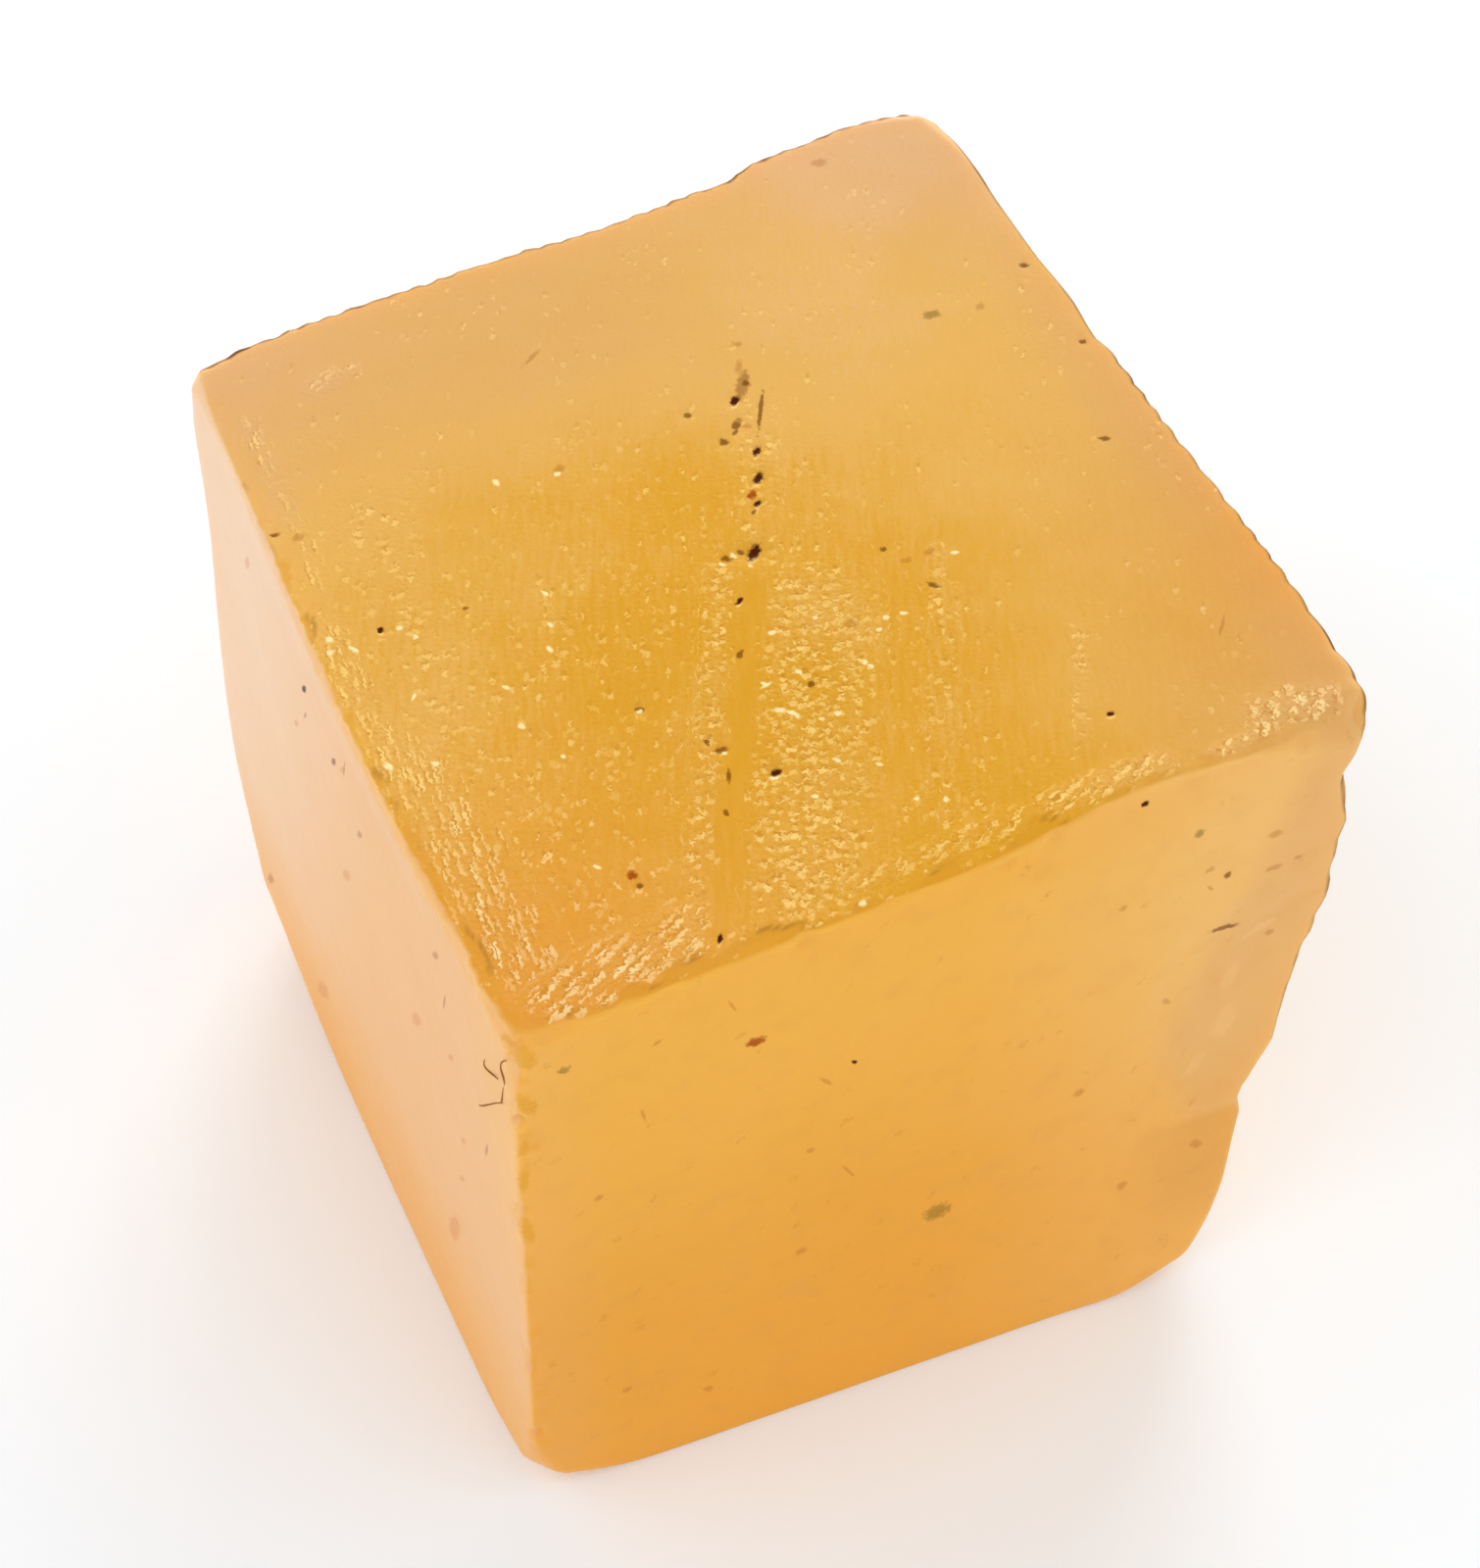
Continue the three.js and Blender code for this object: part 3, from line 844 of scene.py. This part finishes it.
    # What lies over the body colour, in turn, and how much of it each covers. The edge line is
    # painted shade along the outline with some dirt; the flakes carry painted shade on their far
    # walls and painted highlights, creamier where the stone is, on their near walls.
    glint_colours = {0: tint["Alpha"], 6: PAINTED_GLINT, 7: PAINTED_CREAMY_GLINT}
    glint_colour = add(tree, "Mix", glint_colours, data_type="RGBA").outputs[2]
    for cover, most, colour in (
        (tint["Alpha"], 1.0, tint["Color"]),
        (mottled, 0.22, SAPPHIRE_LEDGE),
        (speck, 0.35, SPECK_BROWN),
        (worn, 0.4, SAPPHIRE_RIM),
        (edge_dirt_and_shade, 1.0, EDGE_DIRT_AND_SHADE_BROWN),
        (shaded, 0.5, PAINTED_FLAKE_SHADE),
        (lit, 0.8, glint_colour),
    ):
        share = add(tree, "Math", {0: cover, 1: most}, operation="MULTIPLY")
        body = add(tree, "Mix", {0: share, 6: body, 7: colour}, data_type="RGBA").outputs[2]

    # Dirt in the pits, stains under the skin and painted glints, with torn outlines. They block
    # the light that would come out of the stone there.
    tearing = {"Vector": mm, "Scale": 8.0, "Detail": 4.0, "Roughness": 0.65}
    tears = add(tree, "TexNoise", tearing).outputs["Color"]
    tears = add(tree, "VectorMath", {0: tears, 1: (0.5, 0.5, 0.5)}, operation="SUBTRACT")
    through = 0.4
    for number in range(len(mark_layers)):
        offset = add(tree, "Attribute", attribute_name=f"marks_{number}").outputs["Vector"]
        colour = add(tree, "Attribute", attribute_name=f"mark_colours_{number}")
        strayed = add(
            tree, "VectorMath", {0: tears, 1: (2.0, 2.0, 0.0), 2: offset}, operation="MULTIPLY_ADD"
        )
        reach = add(tree, "VectorMath", {0: strayed}, operation="LENGTH").outputs["Value"]
        inside = add(
            tree, "MapRange", {0: reach, 1: 1.35, 2: 0.6}, interpolation_type="SMOOTHSTEP"
        )
        cover = add(tree, "Math", {0: inside, 1: colour.outputs["Alpha"]}, operation="MULTIPLY")
        blocked = add(tree, "Math", {0: cover, 1: through}, operation="MULTIPLY")
        through = add(tree, "Math", {0: through, 1: blocked}, operation="SUBTRACT")
        layers = {0: cover, 6: body, 7: colour.outputs["Color"]}
        body = add(tree, "Mix", layers, data_type="RGBA").outputs[2]

    # Relief too fine for the mesh, in mm: the grooves, and the grain between the flakes.
    height = 0.0
    torn = add(tree, "Math", {0: flake_share, 1: 0.05, 2: 0.006}, operation="MULTIPLY_ADD")
    for part, depth in ((grooves, 0.008), (fine, torn)):
        height = add(tree, "Math", {0: part, 1: depth, 2: height}, operation="MULTIPLY_ADD")
    normal = add(tree, "Bump", {"Height": height, "Distance": MM})

    # Ground faces are smooth, the sawn top satin, the painted glints on the flakes glossy, and the
    # painted edge shade with its dirt dull.
    roughness = 0.3
    for part, weight in ((sawn, 0.06), (lit, -0.1), (edge_dirt_and_shade, 0.3)):
        roughness = add(tree, "Math", {0: part, 1: weight, 2: roughness}, operation="MULTIPLY_ADD")
    shader = add(
        tree,
        "BsdfPrincipled",
        {
            "Base Color": body,
            "Roughness": roughness,
            "IOR": 1.765,
            "Specular IOR Level": 0.01,
            "Normal": normal,
            "Subsurface Weight": through,
            "Subsurface Radius": (1.0, 0.85, 0.7),
            "Subsurface Scale": 0.0008,
        },
    )
    add(tree, "OutputMaterial", {"Surface": shader})
    return material


def mixed(first, second, share):
    """For each share a colour that far from the first to the second."""
    return np.array(first) + (np.array(second) - np.array(first)) * share[:, None]


def sapphire_stone():
    """The stone: the skin of a box, crowded towards its edges, rounded, skewed, damaged and
    given low relief. It keeps for its material where it is sawn, worn, milky and stained, and
    where light and shade are painted into its colour."""
    lattice, faces = box_skin(STRIPS)
    rounded, outward, radius = round_off(crowd(lattice) * HALF)
    points = relief(damage(skew(rounded)), outward)
    mark_layers = well_apart(with_painted_lit_walls(MARKS))
    material = sapphire_material(mark_layers)
    piece = put_mesh("sapphire_stone", points, faces.tolist(), material)

    x, y, z = points.T
    right, back, up = outward.T
    top, front = ease(up, 0.75, 0.97), ease(-back, 0.75, 0.97)
    left = ease(-right, 0.35, 0.7)
    inside_rims = ease(from_rim(points), -0.06, 0.06)
    unseen = np.maximum(ease(back, 0.5, 0.9), ease(right, 0.5, 0.9))
    strayed = points + 0.2 * wander(points, 1.5, seed=41)[:, None]
    channel = 0.9 * along_line(strayed, (-0.5, -1.2), (-5.2, -9.4), 0.3)
    scored = np.maximum.reduce(
        [
            along_line(points, start, end, 0.3)
            for start, end in (((3.65, -1.9), (0.5, -7.7)), ((3.4, -3.1), (0.5, -8.4)))
        ]
    )
    near_front = fall(y, -1.0, 7.0) * fall(x, 1.0, 6.0)
    sawn = (0.45 + 0.55 * near_front + 0.8 * scored) * top * inside_rims
    keep_values(piece, "sawn", sawn + 2 * unseen)
    on_rims = 0.3 + 0.4 * fall(x, -9.0, -8.0)
    share, place = flakes(points, top * (inside_rims + on_rims * (1 - inside_rims)))
    keep_values(piece, "flake_share", share * (1 - channel))
    keep_values(piece, "flake_place", place)
    keep_values(piece, "ground", (1 - top) * (1 - 0.7 * left))

    # The worn rims of the top, and the flaked left edge of the front, are clear and amber.
    from_edge = x + 10.28 - 0.18 * z / 20.4
    flaked = fall(from_edge - front_chips(points), -0.04, 0.06) * front * ease(z, 0.5, 2.0)
    rims = top * (1 - inside_rims) * fall(x, 4.0, 9.0)
    keep_values(piece, "worn", np.maximum(rims, flaked))

    # The milky share grows towards the back of the top and its sides, and to the right on the front.
    # It is partly the stone's milkiness and partly painted glow of light through the thinner parts;
    # on the left face it is painted reflection of the bright surroundings.
    back_part = ease(y, -2.5, 11.0)
    sides = 0.25 * ease(x, 2.0, 7.0) + 0.14 * fall(x, -9.5, -5.5)
    milk_and_painted_light = 0.03 + 0.5 * back_part + sides * (1 - 0.6 * back_part)
    milk_and_painted_light += 0.3 * ease(np.hypot(x / 1.15, (y + 4.5) / 1.25), 10.0, 15.0)
    milk_and_painted_light += 0.2 * hump(np.hypot(x - 3.5, y - 4.0), 0.0, 3.0)
    milk_and_painted_light += 0.13 * hump(np.hypot(x - 2.3, y - 1.0), 0.0, 2.7)
    milk_and_painted_light += 0.08 * hump(np.hypot(x - 5.0, y - 6.0), 0.0, 3.0)
    milk_and_painted_light -= 0.12 * hump(np.hypot(x + 1.5, y + 2.5), 0.0, 3.5)
    milk_and_painted_light += 0.06 * hump(np.hypot(x + 6.0, y - 0.5), 0.0, 2.5)
    milk_and_painted_light -= 0.12 * ease(x, 4.0, 8.0) * fall(y, -7.0, -3.0)
    milk_and_painted_light -= 0.1 * hump(y, 2.6, 2.0) * ease(x, -5.0, -2.0) * fall(x, 6.0, 8.5)
    milk_and_painted_light += 0.05 * hump(x, -6.0, 1.6) * fall(y, 3.0, 6.0)
    milk_front = 0.2 + 0.3 * ease(x, -2.0, 7.0)
    milk_and_painted_light += (milk_front - milk_and_painted_light) * front * (1 - top)
    # The left face is made pale: painted reflection of the bright surroundings.
    milk_and_painted_light += (0.62 - milk_and_painted_light) * left * (1 - top)
    keep_values(piece, "milk_and_painted_light", milk_and_painted_light)

    # Over that the front is gold, orange towards the foot and sandy to the right, tan beside the
    # scar and darker below the ledge. The left is peach, pale towards the back, orange at the foot
    # and sandy along its upper and front edges; its paleness is in part painted reflection of the
    # bright surroundings. The top's front corner and right side are orange.
    gold = mixed(SAPPHIRE_GOLD, SAPPHIRE_ORANGE, fall(z, 5.0, 19.0))
    gold = mixed(gold, SAPPHIRE_SAND, ease(x, 0.0, 8.0) * (0.4 + 0.6 * ease(z, 4.0, 17.0)))
    near_front = fall(y, -9.0, -5.0)
    beside_scar = ease(x - 0.28 * np.abs(z - 10.5), 5.2, 6.6) * ease(z, 7.1, 7.35)
    gold = mixed(gold, SAPPHIRE_TAN, 0.75 * beside_scar * near_front)
    ledge = ease(x, 4.5, 7.5) * fall(z, 7.1, 7.35) * ease(z, 1.0, 5.0) * near_front
    gold = mixed(gold, SAPPHIRE_LEDGE, 0.7 * ledge)
    gold = mixed(gold, SAPPHIRE_PEACH, 0.15 * fall(x, -10.0, -7.5))
    peach = mixed(SAPPHIRE_PEACH, SAPPHIRE_PALE, ease(y + 0.35 * (z - 12), -2.0, 10.0))
    peach = mixed(peach, SAPPHIRE_ORANGE, 0.65 * fall(z, 1.0, 8.0))
    upper_edge = 0.4 * ease(z, 19.2, 20.1) * (0.35 + 0.65 * fall(y, -4.0, 6.0))
    front_edge = 0.5 * fall(y, -9.8, -6.5) * ease(z, 7.0, 16.0)
    peach = mixed(peach, SAPPHIRE_SAND, np.maximum(upper_edge, front_edge))
    corner = 0.8 * hump(np.hypot(x + 9.0, y + 9.0), 0.0, 4.5)
    back_share = 0.5 * ease(y, 3.0, 8.5) * (1 - 0.9 * hump(np.hypot(x - 4.5, y - 6.5), 0.0, 3.2))
    right_share = 0.55 * ease(x - 0.3 * y, 5.0, 12.0) + 0.2 * ease(x, 8.0, 9.6)
    tan_share = ease(x, 0.0, 6.0) * (1 - 0.4 * hump(y, -5.0, 2.5))
    sawn_tint = mixed(SAPPHIRE_ORANGE, SAPPHIRE_TAN, np.maximum(tan_share, ease(y, -3.0, 3.0)))
    behind = mixed(SAPPHIRE_TAN, SAPPHIRE_PALE, 0.7 * fall(x, -9.0, 4.0))
    behind = mixed(behind, SAPPHIRE_ORANGE, 0.65 * fall(z, 1.0, 8.0))
    gold = mixed(gold, behind, ease(back, 0.3, 0.9))
    tint = mixed(mixed(sawn_tint, gold, 1 - top), peach, left)
    tint[:, 3] = top * np.maximum.reduce([corner, right_share, back_share])
    tint[:, 3] += (1 - top) * (0.85 - 0.2 * unseen)
    keep_values(piece, "tint", tint)

    # A dark line along the ridges of the edges, where they turn out of sight, is painted shade of
    # their outline with some grinding dirt; here and there along the rims it is dirt.
    broken = ease(wander(points, 1.2, seed=52), 0.1, 1.0)
    upper = np.maximum.reduce(
        [
            ridge(outward, radius, BACK_RIDGE, TOP_SIDE),
            ridge(outward, radius, RIGHT_RIDGE, TOP_SIDE),
            0.8 * ridge(outward, radius, CORNER_RIDGE, TOP_SIDE),
        ]
    )
    upper *= (0.75 + 0.25 * broken) * ease(up, 0.02, 0.2)
    lower = ridge(outward, radius, FRONT_RIGHT_RIDGE, FRONT_SIDE) * ease(-back, 0.02, 0.2)
    lower *= (0.45 + 0.3 * broken) * ease(z, 7.0, 12.0)
    rim_line = 0.4 * hump(from_rim(points), 0.0, 0.05) * broken * top * fall(x, 4.0, 9.0)
    keep_values(piece, "edge_dirt_and_shade", np.maximum.reduce([upper, lower, rim_line]))

    for number, layer in enumerate(mark_layers):
        offsets, which = mark_offsets(points, layer)
        kinds = [MARK_KINDS[mark[6]] for mark in layer]
        colours = np.array([(*linear(colour)[:3], cover) for colour, cover in kinds])
        keep_values(piece, f"marks_{number}", offsets)
        keep_values(piece, f"mark_colours_{number}", colours[which])
    return piece


# ---------------------------------------------------------------------------- dust hairs

# Short fibres of dust that cling to the left face: points on it in mm, across and up.
HAIRS = [
    [(-8.43, 17.74), (-8.39, 17.51), (-8.53, 17.53), (-8.72, 17.69), (-9.08, 18.08), (-9.33, 18.31)],
    [(-9.78, 19.66), (-9.52, 19.20), (-9.43, 18.93), (-9.47, 18.75), (-9.67, 18.81), (-9.69, 18.62)],
    [(-9.52, 18.29), (-9.44, 17.93), (-9.39, 17.59), (-9.34, 17.40)],
    [(-9.67, 17.67), (-9.37, 17.44), (-8.79, 16.55), (-8.34, 15.83), (-7.95, 15.27)],
]
HAIR_RADIUS = 0.02
HAIR_SIDES = 8
HAIR_RINGS = 24


def dust_material():
    """Lint from brown cotton cloth: dull, and paler where the fibre flattens."""
    material, tree = new_material("cotton_lint")
    place = add(tree, "TexCoord").outputs["Object"]
    twist = add(tree, "TexNoise", {"Vector": place, "Scale": 4000.0, "Detail": 1.0})
    colours = {0: twist, 6: linear("#804814"), 7: linear("#a8682c")}
    lint = add(tree, "Mix", colours, data_type="RGBA").outputs[2]
    finish = {"Base Color": lint, "Roughness": 0.85, "Specular IOR Level": 0.1}
    shader = add(tree, "BsdfPrincipled", finish)
    add(tree, "OutputMaterial", {"Surface": shader})
    return material


def dust_hairs():
    """Each fibre is a ring of HAIR_SIDES points carried along a curve through its points,
    even shares of the way apart, thinner towards the ends, and closed at both."""
    turn = np.arange(HAIR_SIDES) * 2 * np.pi / HAIR_SIDES
    share = np.linspace(0, 1, HAIR_RINGS)
    points, faces = [], []
    for hair in HAIRS:
        degree = min(4, len(hair))
        power = np.vander(np.linspace(0, 1, len(hair)), degree)
        run = np.vander(share, degree) @ np.linalg.lstsq(power, np.array(hair), rcond=None)[0]
        forward = np.gradient(run, axis=0)
        forward /= np.linalg.norm(forward, axis=1, keepdims=True)
        sideways = np.stack([-forward[:, 1], forward[:, 0]], axis=1)
        radius = HAIR_RADIUS * (0.35 + 0.65 * np.sin(np.pi * share) ** 0.5)
        lift = 0.03 + 0.05 * share**2
        rings = np.empty((HAIR_RINGS, HAIR_SIDES, 3))
        rings[..., 0] = -10.06 - lift[:, None] + radius[:, None] * np.sin(turn)
        rings[..., 1] = run[:, :1] + sideways[:, :1] * radius[:, None] * np.cos(turn)
        rings[..., 2] = run[:, 1:] + sideways[:, 1:] * radius[:, None] * np.cos(turn)
        start = len(points) * HAIR_RINGS * HAIR_SIDES
        ids = start + np.arange(HAIR_RINGS * HAIR_SIDES).reshape(HAIR_RINGS, HAIR_SIDES)
        after = np.roll(ids, -1, axis=1)
        walls = np.stack([ids[:-1], after[:-1], after[1:], ids[1:]], axis=2).reshape(-1, 4)
        points.append(rings.reshape(-1, 3))
        faces += walls.tolist() + [ids[0][::-1].tolist(), ids[-1].tolist()]
    return put_mesh("dust_hairs", np.concatenate(points), faces, dust_material())


stone = sapphire_stone()
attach(stone, "root")
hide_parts("sapphire_cube")

hairs = dust_hairs()
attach(hairs, "root")


# ---------------------------------------------------------------------------- studio

MIDDLE = np.array([0.0, 0.0, 10.0])

# Patches of the surroundings, both straight behind the stone: the elevation of the middle,
# and how far from it, in degrees, the patch is full and where it ends.
DIM_PATCH = (58.0, 22.0, 50.0)
WINDOW_PATCH = (12.0, 12.0, 34.0)

# How much the walls brighten towards the left and back, and darken on the other side.
LIGHTER = 0.16


def camera():
    """A long-lens camera close above the stone, with no depth of field."""
    data = bpy.data.cameras.new("camera")
    data.lens = SENSOR * LENS_PIXELS / PICTURE[1]
    data.sensor_width = SENSOR
    data.clip_start = 0.005
    data.clip_end = 5.0
    lens = bpy.data.objects.new("camera", data)
    matrix = np.eye(4)
    matrix[:3, :3] = CAMERA_AXES
    matrix[:3, 3] = CAMERA_PLACE * MM
    lens.matrix_world = Matrix(matrix.tolist())
    bpy.context.scene.collection.objects.link(lens)
    bpy.context.scene.camera = lens


def softbox(name, aside, elevation, distance, width, height, radiance):
    """A rectangular light that faces the stone. Aside is degrees to the camera's right of
    straight behind the stone, and its power is pi times area times radiance."""
    behind = -CAMERA_AXES[:2, 2] / np.linalg.norm(CAMERA_AXES[:2, 2])
    rightward = np.array([behind[1], -behind[0]])
    turn, rise = math.radians(aside), math.radians(elevation)
    flat = (behind * math.cos(turn) + rightward * math.sin(turn)) * math.cos(rise)
    toward = np.array([*flat, math.sin(rise)])
    sideways = np.cross([0.0, 0.0, 1.0], toward)
    sideways /= np.linalg.norm(sideways)
    matrix = np.eye(4)
    matrix[:3, :3] = np.stack([sideways, np.cross(toward, sideways), toward], axis=1)
    matrix[:3, 3] = MIDDLE * MM + toward * distance
    data = bpy.data.lights.new(name, "AREA")
    data.shape = "RECTANGLE"
    data.size, data.size_y = width, height
    data.energy = math.pi * width * height * radiance
    light = bpy.data.objects.new(name, data)
    light.matrix_world = Matrix(matrix.tolist())
    bpy.context.scene.collection.objects.link(light)


def surroundings(bright, dim, window):
    """White walls and ceiling all round, but for a dim patch high behind the stone, which its
    top would otherwise mirror to the camera, and a window low behind it."""
    world = bpy.data.worlds.new("studio")
    world.use_nodes = True
    tree = world.node_tree
    tree.nodes.clear()
    behind = -CAMERA_AXES[:2, 2] / np.linalg.norm(CAMERA_AXES[:2, 2])
    direction = add(tree, "TexCoord").outputs["Generated"]
    aside = np.cross([*behind, 0.0], [0.0, 0.0, 1.0])
    lighter = LIGHTER * (0.6 * np.array([*behind, 0.0]) - 0.8 * aside)
    facing = add(tree, "VectorMath", {0: direction, 1: lighter}, operation="DOT_PRODUCT")
    level = add(
        tree, "Math", {0: facing.outputs["Value"], 1: bright, 2: bright}, operation="MULTIPLY_ADD"
    )
    for there, (elevation, inner, outer) in ((dim, DIM_PATCH), (window, WINDOW_PATCH)):
        rise = math.radians(elevation)
        middle = (*(behind * math.cos(rise)).tolist(), math.sin(rise))
        facing = add(tree, "VectorMath", {0: direction, 1: middle}, operation="DOT_PRODUCT")
        edges = (math.cos(math.radians(outer)), math.cos(math.radians(inner)))
        inside = add(
            tree,
            "MapRange",
            {0: facing.outputs["Value"], 1: edges[0], 2: edges[1]},
            interpolation_type="SMOOTHSTEP",
        )
        level = add(tree, "Mix", {0: inside, 2: level, 3: there}, data_type="FLOAT").outputs[0]
    background = add(tree, "Background", {"Color": (0.97, 0.985, 1.0, 1.0), "Strength": level})
    add(tree, "OutputWorld", {"Surface": background})
    bpy.context.scene.world = world


def floor():
    """A sheet of matt white paper, a metre wide, with the faint cloudiness of its pulp."""
    material, tree = new_material("white_paper")
    place = add(tree, "TexCoord").outputs["Object"]
    pulp = add(tree, "TexNoise", {"Vector": place, "Scale": 250.0, "Detail": 3.0})
    paper = add(
        tree,
        "Mix",
        {0: pulp, 6: linear("#f7fbff"), 7: linear("#f9fdff")},
        data_type="RGBA",
    )
    shader = add(tree, "BsdfPrincipled", {"Base Color": paper.outputs[2], "Roughness": 0.7})
    add(tree, "OutputMaterial", {"Surface": shader})
    half = 600.0
    corners = np.array([[-half, -half, 0], [half, -half, 0], [half, half, 0], [-half, half, 0]])
    put_mesh("paper_sheet", corners, [[0, 1, 2, 3]], material)


camera()
floor()
surroundings(bright=1.27, dim=0.12, window=4.0)
softbox("window", aside=10, elevation=12, distance=0.4, width=0.2, height=0.03, radiance=24.0)
bpy.context.scene.view_settings.view_transform = "Standard"
